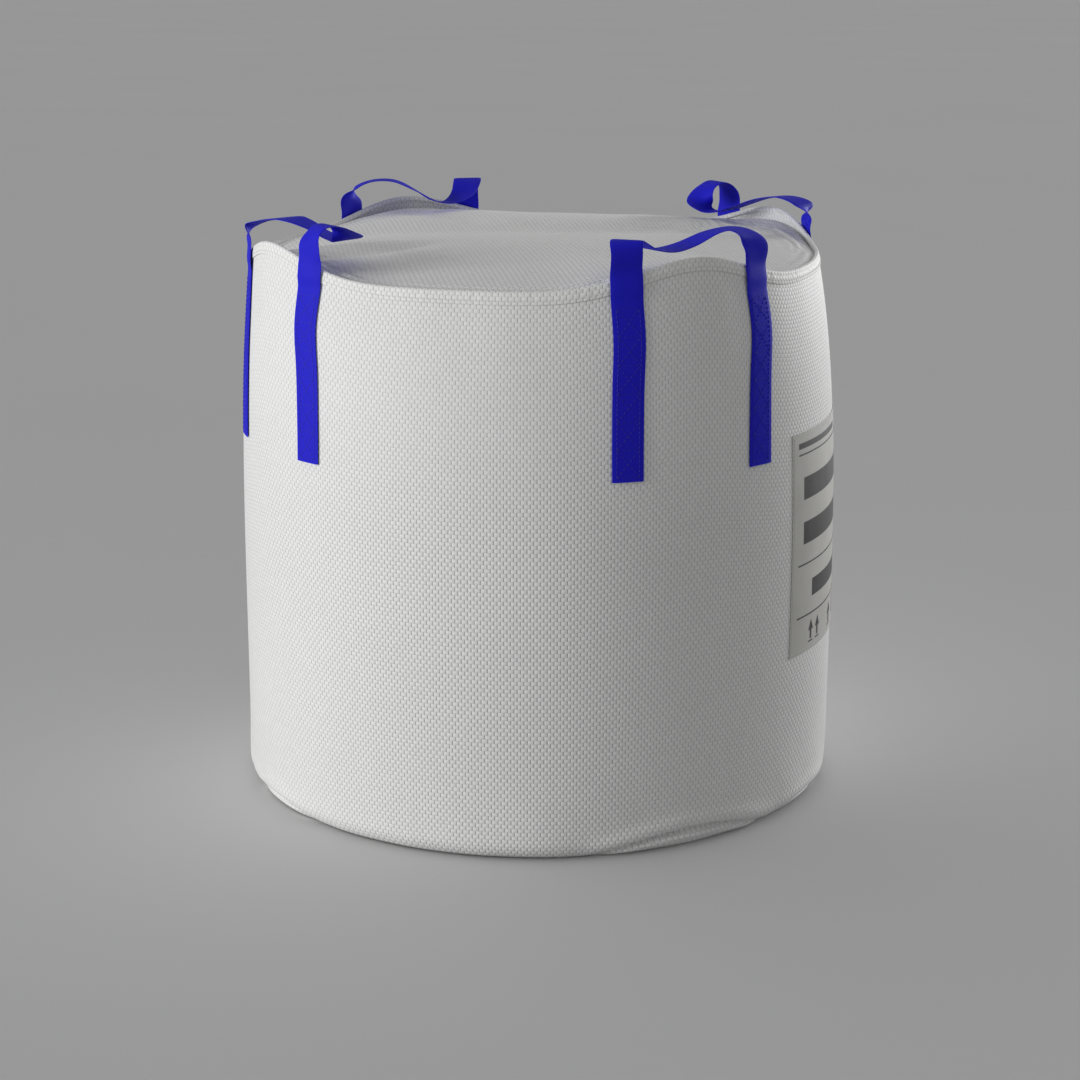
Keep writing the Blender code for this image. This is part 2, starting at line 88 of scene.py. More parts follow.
def near_angle(points, degrees):
    """The points of a node that lie at one angle around the bag."""
    away = np.degrees(np.arctan2(points[:, 0], -points[:, 1])) - degrees
    return points[np.abs(away) < 1.0]


def rim_of(degrees):
    """Height of the rim, and radius and height of the wall's upper edge, at one angle."""
    wall = near_angle(node_points("body_tube"), degrees)
    edge = wall[wall[:, 2] > wall[:, 2].max() - MM]
    radius = np.hypot(edge[:, 0], edge[:, 1]).max()
    return near_angle(node_points("rim_hem"), degrees)[:, 2].max(), radius, wall[:, 2].max()


def lean_to(radius, height, rim):
    """How far the wall leans in by the rim, from its radius at one height."""
    return (BELLY_RADIUS - radius) / ((height - BELLY_HEIGHT) / (rim - BELLY_HEIGHT)) ** TAPER_POWER


BELLY_HEIGHT = 0.20
TAPER_POWER = 4.0
BELLY_RADIUS = float(np.hypot(*node_points("body_tube")[:, :2].T).max())
RIM_LOW, SIDE_RADIUS, SIDE_EDGE = rim_of(0.0)
RIM_HIGH, CORNER_RADIUS, CORNER_EDGE = rim_of(45.0)
SIDE_LEAN = lean_to(SIDE_RADIUS, SIDE_EDGE, RIM_LOW)
CORNER_LEAN = lean_to(CORNER_RADIUS, CORNER_EDGE, RIM_HIGH)
BASE_EDGE = BELLY_RADIUS - float(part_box("base_panel")[1].x)
FLOOR_GAP = float(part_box("body_tube")[0].z)
HEM_DEPTH = RIM_LOW - float(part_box("rim_hem")[0].z)


def lobe(angle):
    """1 at the corners and 0 in the middle of each side."""
    return 0.5 - 0.5 * np.cos(4.0 * angle)


def rim_height(angle):
    return RIM_LOW + (RIM_HIGH - RIM_LOW) * lobe(angle) ** 3


def wall_radius(angle, height):
    rise = np.maximum((height - BELLY_HEIGHT) / (rim_height(angle) - BELLY_HEIGHT), 0.0)
    lean = SIDE_LEAN + (CORNER_LEAN - SIDE_LEAN) * lobe(angle)
    below = np.clip(BASE_EDGE - height, 0.0, BASE_EDGE)
    edge = BASE_EDGE - np.sqrt(BASE_EDGE ** 2 - below ** 2)
    return BELLY_RADIUS - lean * rise ** TAPER_POWER - edge


def at(angle, radius, height):
    """Points around the axis, as an array of shape (..., 3)."""
    radius, angle, height = np.broadcast_arrays(radius, angle, height)
    return np.stack([radius * np.sin(angle), -radius * np.cos(angle), height], axis=-1)


def ease(x):
    """0 below 0, 1 above 1, smooth in between."""
    x = np.clip(x, 0.0, 1.0)
    return x * x * (3.0 - 2.0 * x)


def bell(x):
    return np.exp(-x * x)


def waves(angle, height, orders, drift, seed):
    """A sum of waves around the bag whose crests drift sideways with height, from -1 to 1."""
    total = 0.0
    for k, order in enumerate(orders):
        phase = TAU * ((k * 0.618 + seed * 0.371) % 1.0)
        total = total + np.sin(order * angle + drift * (k - 1.5) * height + phase)
    return total / len(orders)


def turn_from(angle, degrees):
    """Signed difference of an angle from a direction, in degrees."""
    return (np.degrees(angle) - degrees + 180.0) % 360.0 - 180.0


# The cloth's own shape on top of that: slow bulges, creases and folds

# Folds at the lower edge: start and end in degrees, height of the crease, depth
BASE_FOLDS = [
    (24.0, 66.0, 36 * MM, 13 * MM),
    (63.0, 97.0, 17 * MM, 8 * MM),
    (-62.0, -30.0, 20 * MM, 7 * MM),
    (116.0, 154.0, 30 * MM, 10 * MM),
    (204.0, 246.0, 26 * MM, 10 * MM),
]


def base_folds(angle, height):
    """Creases over the square base's corners, with a lip below and a roll of cloth above."""
    relief = 0.0
    for start, end, crest, depth in BASE_FOLDS:
        share = np.clip(turn_from(angle, 0.5 * (start + end)) / (end - start) + 0.5, 0.0, 1.0)
        inside = np.sin(math.pi * share)
        line = crest * inside
        crease = bell((height - line) / (4.5 * MM))
        roll = bell((height - line - 18.0 * MM) / (14.0 * MM))
        lip = bell((height - line + 12.0 * MM) / (8.0 * MM))
        relief = relief + inside ** 0.6 * depth * (0.45 * roll - crease + 0.4 * lip)
    return relief


# The cloth never goes in further than this, because the liner lies behind it
LINER_SHY = -1.8 * MM


def wall_relief(angle, height):
    """How far the cloth stands out from the plain wall, or in behind it."""
    rim = rim_height(angle)
    upright = np.sin(math.pi * np.clip(height / rim, 0.0, 1.0))
    relief = 6.0 * MM * np.cos(angle - math.radians(98.0)) * upright ** 0.7
    relief = relief + 2.6 * MM * waves(angle, height, (3, 5, 7, 8), 3.0, 1) * upright
    upper = ease((height - rim + 0.26) / 0.22)
    relief = relief + 0.9 * MM * waves(angle, height, (13, 19, 26), 9.0, 2) * upper
    lower = ease((0.20 - height) / 0.16)
    relief = relief + 1.6 * MM * waves(angle, height, (9, 13, 17, 26), 14.0, 3) * lower
    for degrees in CORNERS.values():
        away = turn_from(angle, degrees)
        relief = relief + 2.5 * MM * bell(away / 8.0) * bell((height - rim + 0.13) / 0.09)
    relief = LINER_SHY + MM * np.logaddexp(0.0, (relief - LINER_SHY) / MM)
    return relief + base_folds(angle, height)


def cloth_radius(angle, height):
    return wall_radius(angle, height) + wall_relief(angle, height)


def on_cloth(angle, across, height, offset):
    """A point in front of the visible wall, at a distance along it from an upright line."""
    turn = angle + across / wall_radius(angle, height)
    return at(turn, cloth_radius(turn, height) + offset, height)


# Meshes: a part is (points, faces, uv, faces of the uv), and a piece is one or more parts

def unit(vectors):
    return vectors / np.maximum(np.linalg.norm(vectors, axis=-1, keepdims=True), 1e-9)


def lattice(rows, columns, width):
    """Corner numbers of the cells of a lattice, whose last column may meet its first."""
    i, j = np.meshgrid(np.arange(rows - 1), np.arange(columns), indexing="ij")
    k = (j + 1) % width
    low, high = i * width, (i + 1) * width
    return np.stack([low + j, low + k, high + k, high + j], axis=-1).reshape(-1, 4)


def grid_normals(points, wrap):
    if wrap:
        around = np.concatenate([points[:, -1:], points, points[:, :1]], axis=1)
        across = np.gradient(around, axis=1)[:, 1:-1]
    else:
        across = np.gradient(points, axis=1)
    return unit(np.cross(across, np.gradient(points, axis=0)))


def shell(points, uv, thickness, wrap=False):
    """A closed sheet whose face is a lattice of points, columns to the right and rows up."""
    rows, columns = points.shape[:2]
    back = points - grid_normals(points, wrap) * thickness
    cells = columns if wrap else columns - 1

    def closed(front, width, count, end):
        low, high = front[:cells], front[-cells:]
        quads = [front, front[:, ::-1] + count]
        quads.append(np.stack([low[:, 1], low[:, 0], low[:, 0] + count, low[:, 1] + count], axis=1))
        quads.append(np.stack([high[:, 3], high[:, 2], high[:, 2] + count, high[:, 3] + count], axis=1))
        if not wrap:
            left = np.arange(rows - 1) * width
            right = left + end
            quads.append(np.stack([left, left + width, left + width + count, left + count], axis=1))
            quads.append(np.stack([right + width, right, right + count, right + width + count], axis=1))
        return np.concatenate(quads)

    faces = closed(lattice(rows, cells, columns), columns, rows * columns, columns - 1)
    uv_columns = uv.shape[1]
    uv_faces = closed(lattice(rows, cells, uv_columns), uv_columns, rows * uv_columns, uv_columns - 1)
    both = np.concatenate([points, back]).reshape(-1, 3)
    return both, faces, np.concatenate([uv, uv]).reshape(-1, 2), uv_faces


def make_piece(name, *parts, ngons=()):
    """One mesh object from parts, with their flat cloth coordinates in metres."""
    points, faces, uv, uv_faces = [], [], [], []
    for part in parts:
        faces.append(part[1] + sum(map(len, points)))
        uv_faces.append(part[3] + sum(map(len, uv)))
        points.append(part[0])
        uv.append(part[2])
    mesh = bpy.data.meshes.new(name)
    mesh.from_pydata(np.concatenate(points).tolist(), [], np.concatenate(faces).tolist() + list(ngons))
    layer = mesh.uv_layers.new(name="cloth")
    index = np.concatenate([np.concatenate(uv_faces).ravel(), *map(np.array, ngons)]).astype(int)
    layer.data.foreach_set("uv", np.concatenate(uv)[index].astype(np.float32).ravel())
    mesh.shade_smooth()
    mesh.set_sharp_from_angle(angle=math.radians(50.0))
    thing = bpy.data.objects.new(name, mesh)
    bpy.context.scene.collection.objects.link(thing)
    return thing


STITCH_SIDES = 6


def capsules(starts, ends, normals, radius):
    """Small tapered bars with six sides, one for each stitch, as one part."""
    starts, ends = np.asarray(starts), np.asarray(ends)
    ahead = unit(ends - starts)
    normals = unit(normals - ahead * (normals * ahead).sum(-1, keepdims=True))
    side = np.cross(ahead, normals)
    profile = [(0.0, 0.3), (0.12, 0.8), (0.3, 1.0), (0.7, 1.0), (0.88, 0.8), (1.0, 0.3)]
    turn = np.linspace(0.0, TAU, STITCH_SIDES, endpoint=False)
    circle = side[:, None] * np.cos(turn)[None, :, None] + normals[:, None] * np.sin(turn)[None, :, None]
    rings = [(starts + (ends - starts) * t)[:, None] + circle * radius * r for t, r in profile]
    body = np.stack(rings, axis=1)
    per = len(profile) * STITCH_SIDES
    low = np.array([[0, 1, 2, 3], [3, 4, 5, 0]])
    high = low[:, ::-1] + per - STITCH_SIDES
    one = np.concatenate([lattice(len(profile), STITCH_SIDES, STITCH_SIDES)[:, ::-1], low, high])
    faces = (one[None] + (np.arange(len(starts)) * per)[:, None, None]).reshape(-1, 4)
    points = body.reshape(-1, 3)
    return points, faces, points[:, [0, 2]], faces


def stitch_line(line, normals, length, gap, radius):
    """Stitches of one length along a dense line of points on a surface."""
    lengths = np.concatenate([[0.0], np.cumsum(np.linalg.norm(np.diff(line, axis=0), axis=1))])
    count = max(1, int(lengths[-1] / (length + gap)))
    begin = np.arange(count) * lengths[-1] / count

    def along(values, where):
        return np.stack([np.interp(where, lengths, values[:, k]) for k in range(3)], axis=-1)

    middle = begin + 0.5 * length
    return capsules(along(line, begin), along(line, begin + length), along(normals, middle), radius)


def paint(thing, material, slot, *nodes):
    """Give a piece its material, and hide the CAD nodes that it stands for."""
    thing.data.materials.clear()
    thing.data.materials.append(material)
    if nodes:
        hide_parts(*nodes)


# Materials

class Nodes:
    """A material with a Principled BSDF, and short ways to add nodes to it."""

    def __init__(self, name):
        self.material = bpy.data.materials.new(name)
        self.material.use_nodes = True
        self.tree = self.material.node_tree
        self.shader = self.tree.nodes["Principled BSDF"]

    def plug(self, socket, value):
        if isinstance(value, bpy.types.NodeSocket):
            self.tree.links.new(value, socket)
        else:
            socket.default_value = value

    def add(self, kind, inputs=None, **settings):
        node = self.tree.nodes.new(kind)
        for key, value in settings.items():
            setattr(node, key, value)
        for key, value in (inputs or {}).items():
            self.plug(node.inputs[key], value)
        return node

    def math(self, operation, *values):
        return self.add("ShaderNodeMath", dict(enumerate(values)), operation=operation).outputs[0]

    def remap(self, value, low, high, to_low=0.0, to_high=1.0, smooth=False):
        inputs = {"Value": value, "From Min": low, "From Max": high, "To Min": to_low, "To Max": to_high}
        kind = "SMOOTHSTEP" if smooth else "LINEAR"
        return self.add("ShaderNodeMapRange", inputs, interpolation_type=kind).outputs[0]

    def blend(self, factor, low, high):
        """Mix two colours by a factor."""
        mix = self.add("ShaderNodeMix", {"Factor": factor}, data_type="RGBA")
        for socket, colour in ((mix.inputs[6], low), (mix.inputs[7], high)):
            self.plug(socket, colour if isinstance(colour, bpy.types.NodeSocket) else (*colour, 1.0))
        return mix.outputs[2]

    def noise(self, vector, scale, detail=3.0):
        inputs = {"Vector": vector, "Scale": scale, "Detail": detail}
        return self.add("ShaderNodeTexNoise", inputs).outputs["Fac"]

    def space(self):
        return self.add("ShaderNodeTexCoord").outputs["Object"]

    def scale(self, vector, factor):
        return self.add("ShaderNodeVectorMath", {0: vector, "Scale": factor}, operation="SCALE").outputs[0]

    def bump(self, height, distance, strength=1.0):
        inputs = {"Height": height, "Strength": strength, "Distance": distance}
        return self.add("ShaderNodeBump", inputs).outputs[0]

    def cloth(self, size, level=False):
        """The two flat coordinates of the cloth, or of a level piece, counted in a size."""
        flat = self.space() if level else self.add("ShaderNodeUVMap", uv_map="cloth").outputs[0]
        scaled = self.scale(flat, 1.0 / size)
        parts = self.add("ShaderNodeSeparateXYZ", {"Vector": scaled})
        return scaled, parts.outputs[0], parts.outputs[1]

    def set(self, **values):
        for key, value in values.items():
            self.plug(self.shader.inputs[key.replace("_", " ")], value)


def woven_material(name, light, dark, depth, level=False):
    """Woven tape cloth: a light bump for each tape, half a bump further on in every second row.

    The bumps are flatter where the cloth is pulled taut, in the upper part of the bag. The gaps between the
    tapes, and faintly the grooves between the rows, are painted darker as painted shade.
    """
    nodes = Nodes(name)
    scaled, across, along = nodes.cloth(MM, level)
    row = nodes.math("DIVIDE", along, WEAVE_ROW / MM)
    count = nodes.math("ADD", nodes.math("FLOOR", row), 4000.0)
    shift = nodes.math("MULTIPLY", nodes.math("MODULO", count, 2.0), 0.5)
    column = nodes.math("ADD", nodes.math("DIVIDE", across, WEAVE_PITCH / MM), shift)
    out_across = nodes.math("ABSOLUTE", nodes.math("SUBTRACT", nodes.math("FRACT", column), 0.5))
    out_along = nodes.math("ABSOLUTE", nodes.math("SUBTRACT", nodes.math("FRACT", row), 0.5))
    gap = nodes.remap(out_across, 0.36, 0.50, smooth=True)
    groove = nodes.remap(out_along, 0.30, 0.50, smooth=True)
    inputs = {"X": nodes.math("FLOOR", column), "Y": nodes.math("FLOOR", row)}
    cell = nodes.add("ShaderNodeCombineXYZ", inputs)
    inputs = {"Vector": cell.outputs[0]}
    tape = nodes.add("ShaderNodeTexWhiteNoise", inputs, noise_dimensions="2D").outputs["Value"]
    fibres = nodes.noise(scaled, 0.8, 2.0)
    stain = nodes.noise(nodes.space(), 3.1)
    each = nodes.remap(tape, 0.0, 1.0, 0.965, 1.0)
    shade = nodes.math("MULTIPLY", each, nodes.remap(stain, 0.3, 0.7, 0.965, 1.0))
    # painted shade: the gaps and grooves between the tapes mix the tape colour towards the darker gap colour
    painted_gap_shade = nodes.math("MAXIMUM", gap, nodes.math("MULTIPLY", groove, 0.22))
    tint = nodes.scale(nodes.blend(painted_gap_shade, light, dark), shade)
    crown = nodes.math("MULTIPLY", nodes.math("MULTIPLY", out_across, out_across), -2.6)
    ridge = nodes.math("MULTIPLY", nodes.math("MULTIPLY", out_along, out_along), -1.7)
    sunk = nodes.math("MULTIPLY", gap, -0.45)
    rough = nodes.math("ADD", sunk, nodes.math("MULTIPLY", fibres, 0.06))
    height = nodes.math("ADD", nodes.math("ADD", crown, ridge), rough)
    up = nodes.add("ShaderNodeSeparateXYZ", {"Vector": nodes.space()}).outputs[2]
    taut = nodes.remap(up, 0.50, 0.85, 1.0, 0.55, smooth=True)
    nodes.set(Base_Color=tint, Normal=nodes.bump(height, depth, taut))
    nodes.set(Roughness=nodes.remap(fibres, 0.3, 0.7, 0.52, 0.66))
    nodes.set(Sheen_Weight=0.12, Sheen_Roughness=0.5, Specular_IOR_Level=0.35)
    return nodes.material


# Pitches of the webbing's cords and picks, in millimetres
CORD_PITCH = 2.75
PICK_PITCH = 1.9


def webbing_material(name, light, dark):
    """Ribbed webbing: fine cords along the strap, crossed by picks that lean to and fro, with painted shade
    on the sunken parts between them.
    """
    nodes = Nodes(name)
    scaled, across, along = nodes.cloth(MM)

    def ribs(value, pitch):
        return nodes.math("ABSOLUTE", nodes.math("SINE", nodes.math("MULTIPLY", value, math.pi / pitch)))

    cord = ribs(across, CORD_PITCH)
    lean = nodes.math("MULTIPLY", nodes.math("PINGPONG", across, CORD_PITCH), 0.6)
    pick = ribs(nodes.math("ADD", along, lean), PICK_PITCH)
    height = nodes.math("ADD", nodes.math("MULTIPLY", cord, 0.6), nodes.math("MULTIPLY", pick, 0.5))
    fibres = nodes.noise(scaled, 0.5)
    worn = nodes.noise(nodes.space(), 9.0)
    # painted shade: the sunken parts between cords and picks mix towards the darker blue
    painted_rib_shade = nodes.remap(height, 0.2, 0.9, 0.45, 1.0)
    lit = nodes.math("MULTIPLY", painted_rib_shade, nodes.remap(worn, 0.3, 0.7, 0.8, 1.0))
    nodes.set(Base_Color=nodes.blend(lit, dark, light), Normal=nodes.bump(height, 0.30 * MM, 0.8))
    nodes.set(Roughness=nodes.remap(fibres, 0.3, 0.7, 0.5, 0.64), Specular_IOR_Level=0.10)
    return nodes.material


def mottled_material(name, light, dark, scale, roughness, depth=0.0, **settings):
    """A surface with soft mottling in object space."""
    nodes = Nodes(name)
    noise = nodes.noise(nodes.space(), scale)
    nodes.set(Base_Color=nodes.blend(nodes.remap(noise, 0.3, 0.7), dark, light), **settings)
    nodes.set(Roughness=nodes.remap(noise, 0.3, 0.7, roughness - 0.06, roughness + 0.06))
    if depth:
        nodes.set(Normal=nodes.bump(noise, depth, 0.6))
    return nodes.material


def thread_material(name, light, dark):
    """Twisted thread or cord, with a fine slanting lay."""
    nodes = Nodes(name)
    inputs = {"Vector": nodes.space(), "Scale": 220.0, "Distortion": 1.5, "Detail": 1.0}
    lay = nodes.add("ShaderNodeTexWave", inputs, bands_direction="DIAGONAL").outputs["Fac"]
    nodes.set(Base_Color=nodes.blend(lay, dark, light), Roughness=nodes.remap(lay, 0.0, 1.0, 0.7, 0.55))
    nodes.set(Normal=nodes.bump(lay, 0.2 * MM, 0.5))
    return nodes.material


WEAVE_PITCH = TAU * BELLY_RADIUS / 308
WEAVE_ROW = 7.05 * MM
WHITE = (0.80, 0.80, 0.795)
# painted shade colour for the gaps between the woven tapes, on the wall, hem and base
GAP_SHADE = (0.56, 0.56, 0.555)
materials = {
    "woven": woven_material("woven_cloth", WHITE, GAP_SHADE, 0.95 * MM),
    "hem": woven_material("hem_cloth", (0.82, 0.82, 0.81), GAP_SHADE, 0.9 * MM),
    "base": woven_material("base_cloth", WHITE, GAP_SHADE, 0.95 * MM, level=True),
    # the darker blue of the webbing is painted shade for the sunken parts between its cords and picks
    "strap": webbing_material("blue_webbing", (0.017, 0.015, 0.62), (0.009, 0.008, 0.36)),
    "white_thread": thread_material("white_thread", (0.82, 0.82, 0.80), (0.60, 0.60, 0.58)),
    "blue_thread": thread_material("blue_thread", (0.026, 0.022, 0.46), (0.014, 0.012, 0.28)),
    "cord": thread_material("seam_cord", (0.70, 0.69, 0.66), (0.50, 0.49, 0.46)),
    "label": mottled_material("label_sheet", (0.52, 0.515, 0.49), (0.48, 0.475, 0.45), 14.0, 0.5,
                              0.15 * MM),
    "ink": mottled_material("label_ink", (0.035, 0.035, 0.035), (0.022, 0.022, 0.022), 30.0, 0.5),
    "film": mottled_material("liner_film", (0.72, 0.74, 0.76), (0.62, 0.64, 0.66), 6.0, 0.25, 0.8 * MM),
    "granules": mottled_material("fill_granules", (0.62, 0.58, 0.50), (0.42, 0.38, 0.32), 420.0, 0.8,
                                 2.0 * MM),
}


# Wall

WALL_COLUMNS = 616
WALL_ROWS = 160
WALL_TOP = 6.0 * MM


def cloth_rise(angle, height):
    """Height on the flat cloth, whose rows follow the rim at the top and the floor at the bottom."""
    return height * RIM_LOW / rim_height(angle)


def build_wall():
    angle = np.linspace(0.0, TAU, WALL_COLUMNS + 1)[None, :]
    share = np.linspace(0.0, 1.0, WALL_ROWS)[:, None] ** 1.25
    height = FLOOR_GAP + share * (rim_height(angle) - WALL_TOP - FLOOR_GAP)
    points = at(angle, cloth_radius(angle, height), height)[:, :-1]
    uv = np.stack(np.broadcast_arrays(angle * BELLY_RADIUS, cloth_rise(angle, height)), axis=-1)
    wall = make_piece("bag_wall", shell(points, uv, CLOTH, wrap=True))
    paint(wall, materials["woven"], "woven_fabric", "body_tube")
    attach(wall, "bag")


# Hem

HEM_COLUMNS = 924
HEM_OUT = 1.6 * MM
HEM_FOLD = 8.0 * MM
HEM_INSIDE = 9.0 * MM
STITCH_DROP = 16.0 * MM


def pucker(angle):
    """Small gathers that the seam draws into the hem."""
    return 0.5 * MM * waves(angle, 0.0, (96, 131, 167, 203), 0.0, 5)


def hem_line(angle):
    """Section of the hem: up outside the wall, over the cord and down inside."""
    rim = rim_height(angle) + 0.6 * pucker(angle)
    wall = cloth_radius(angle, rim_height(angle) - WALL_TOP) + HEM_OUT
    line = []
    for drop in np.linspace(HEM_DEPTH, WALL_TOP, 8):
        near = bell((drop - STITCH_DROP) / (3.0 * MM))
        swell = 0.9 * MM * math.sin(math.pi * (HEM_DEPTH - drop) / (HEM_DEPTH - WALL_TOP))
        puff = pucker(angle) * (1.0 - near) + swell
        line.append((cloth_radius(angle, rim - drop) + HEM_OUT + puff - 0.3 * MM * near, rim - drop))
    crown = 0.5 * HEM_FOLD
    for turn in np.linspace(0.0, math.pi, 9):
        line.append((wall - crown + crown * math.cos(turn), rim - crown + crown * math.sin(turn)))
    line.append((wall - HEM_FOLD, rim - HEM_INSIDE))
    return line


def build_hem():
    angle = np.linspace(0.0, TAU, HEM_COLUMNS + 1)
    points = np.stack([at(angle, radius, height) for radius, height in hem_line(angle)])
    run = np.concatenate([[0.0], np.cumsum(np.linalg.norm(np.diff(points[:, 0], axis=0), axis=1))])
    uv = np.stack(np.broadcast_arrays(angle * BELLY_RADIUS, (run + RIM_LOW - HEM_DEPTH)[:, None]), axis=-1)
    hem = make_piece("rim_hem_cloth", shell(points[:, :-1], uv, 1.2 * MM, wrap=True))
    paint(hem, materials["hem"], "hem_fabric", "rim_hem")
    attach(hem, "bag")
    line = at(angle, cloth_radius(angle, rim_height(angle) - STITCH_DROP) + HEM_OUT + 0.8 * MM,
              rim_height(angle) - STITCH_DROP)
    row = stitch_line(line, at(angle, 1.0, 0.0), 7.5 * MM, 3.0 * MM, 0.7 * MM)
    stitches = make_piece("rim_stitches", row)
    paint(stitches, materials["white_thread"], "sewing_thread", "rim_stitching")
    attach(stitches, "bag")


# Top panel

TOP_CELLS = 132
FLANGE = 0.985
TOP_STEP = 11.0 * MM
TOP_FOLLOW = 0.68
TOP_MIDDLE = 27.0 * MM
CAD_STEP = 18.0 * MM
CAD_FOLLOW = 0.45
CLOTH_FRAMES = 28
WEAVE_TURN = math.radians(13.5)

# Gathers that run in from the corners: direction and half width in degrees, depth in millimetres
TOP_GATHERS = [(-45.0, 7.5, 15.0), (45.0, 8.0, 7.0), (135.0, 11.0, 12.0), (225.0, 8.0, 8.0)]


def middle_height(node):
    """Greatest height of a node near the bag's axis."""
    points = node_points(node)
    return float(points[np.hypot(points[:, 0], points[:, 1]) < 0.1][:, 2].max())


CAD_MIDDLE = middle_height("top_panel")


def top_edge(angle):
    """Height at which the panel turns up into its flange."""
    return RIM_LOW - TOP_STEP + TOP_FOLLOW * (rim_height(angle) - RIM_LOW)


def inner_radius(angle):
    return cloth_radius(angle, rim_height(angle) - 2.0 * WALL_TOP) - CLOTH - 0.6 * MM


def inner_cover(angle, share):
    """Height of the CAD panel's face, which the liner and the fill lie just under."""
    edge = RIM_LOW - CAD_STEP
    rise = CAD_FOLLOW * (rim_height(angle) - RIM_LOW)
    return edge + (CAD_MIDDLE - edge) * (1.0 - share ** 4) + rise * share ** 6


def mound(angle, share):
    """Height of the heap the panel lies on: a long front slope, a trough behind the middle, a back swell."""
    x, y = share * np.sin(angle), -share * np.cos(angle)
    edge = top_edge(angle)
    middle = RIM_LOW + TOP_MIDDLE
    height = middle + (edge - middle) * share ** (5.0 - 2.4 * ease((0.3 - y) / 0.6))
    height = height + 5.0 * MM * bell((y - 0.70) / 0.32) * (1.0 - share ** 6)
    trough = y - 0.22 - 0.25 * x
    height = height - 9.0 * MM * bell(trough / 0.16) * ease((0.95 - share) / 0.3)
    for degrees, width, depth in TOP_GATHERS:
        away = turn_from(angle, degrees)
        reach = ease((share - 0.30) / 0.35) * ease((1.0 - share) / 0.12)
        height = height - depth * MM * bell(away / width) * reach
        ridge = bell((np.abs(away) - 2.1 * width) / (0.9 * width))
        height = height + 0.25 * depth * MM * ridge * reach
    cover = inner_cover(angle, share)
    return cover + MM * np.logaddexp(0.0, (height - cover) / MM)


def disc_points(size):
    """A square lattice drawn out to a round one: angle and share of the radius at each point."""
    side = np.linspace(-1.0, 1.0, size + 1)
    x, y = np.meshgrid(side, side)
    share = np.maximum(np.abs(x), np.abs(y))
    safe = np.where(share > 0.0, share, 1.0)
    turn = np.where(np.abs(y) >= np.abs(x), x / safe, y / safe) * math.pi / 4.0
    front = np.where(y < 0.0, turn, math.pi - turn)
    sides = np.where(x > 0.0, math.pi / 2.0 + turn, -math.pi / 2.0 - turn)
    return np.where(np.abs(y) >= np.abs(x), front, sides), share


def drape(points, floor, pinned):
    """Let a slightly oversized sheet settle on a heap, and return where its points come to rest."""
    rows, columns = points.shape[:2]
    quads = lattice(rows, columns - 1, columns)

    def temporary(name, where):
        mesh = bpy.data.meshes.new(name)
        mesh.from_pydata(where.reshape(-1, 3).tolist(), [], quads.tolist())
        thing = bpy.data.objects.new(name, mesh)
        bpy.context.scene.collection.objects.link(thing)
        return thing

    heap = temporary("heap", floor)
    heap.modifiers.new("collision", "COLLISION")
    heap.collision.thickness_outer = 1.0 * MM
    heap.collision.cloth_friction = 8.0
    cloth = temporary("cloth", points)
    group = cloth.vertex_groups.new(name="pinned")
    group.add(np.flatnonzero(pinned.ravel()).tolist(), 1.0, "REPLACE")
    modifier = cloth.modifiers.new("cloth", "CLOTH")
    settings = modifier.settings
    settings.quality = 7
    settings.mass = 0.12
    settings.tension_stiffness = 30.0
    settings.compression_stiffness = 30.0
    settings.shear_stiffness = 8.0
    settings.bending_stiffness = 4.0
    settings.air_damping = 2.0
    settings.vertex_group_mass = "pinned"
    settings.shrink_min = -0.006
    modifier.collision_settings.distance_min = 1.5 * MM
    modifier.collision_settings.use_self_collision = False
    scene = bpy.context.scene
    modifier.point_cache.frame_start = 1
    modifier.point_cache.frame_end = CLOTH_FRAMES
    for frame_number in range(1, CLOTH_FRAMES + 1):
        scene.frame_set(frame_number)
    settled = cloth.evaluated_get(bpy.context.evaluated_depsgraph_get()).to_mesh()
    rest = np.empty(rows * columns * 3)
    settled.vertices.foreach_get("co", rest)
    for thing in (cloth, heap):
        bpy.data.objects.remove(thing)
    scene.frame_set(1)
    return rest.reshape(points.shape)


def top_sheet():
    angle, share = disc_points(TOP_CELLS)
    floor = at(angle, inner_radius(angle) * share, mound(angle, share))
    lift = 1.0 - ease((share - 0.9) / 0.1)
    start = floor + UP * (3.0 * MM * lift)[..., None]
    rest = drape(start, floor, share > FLANGE)
    limit = 9.0 * MM * lift
    rest[..., 2] = np.clip(rest[..., 2], floor[..., 2], floor[..., 2] + limit + 1.0 * MM)
    slide = np.clip(rest[..., :2] - start[..., :2], -5.0 * MM, 5.0 * MM)
    rest[..., :2] = start[..., :2] + slide * lift[..., None]
    return rest


def finer(values):
    """Twice as many points each way, on smooth curves through the given ones."""
    for axis in (0, 1):
        values = np.moveaxis(values, axis, 0)
        ends = np.concatenate([values[:1], values, values[-1:]])
        between = (9.0 * (ends[1:-2] + ends[2:-1]) - ends[:-3] - ends[3:]) / 16.0
        out = np.empty((2 * len(values) - 1, *values.shape[1:]))
        out[0::2], out[1::2] = values, between
        values = np.moveaxis(out, 0, axis)
    return values


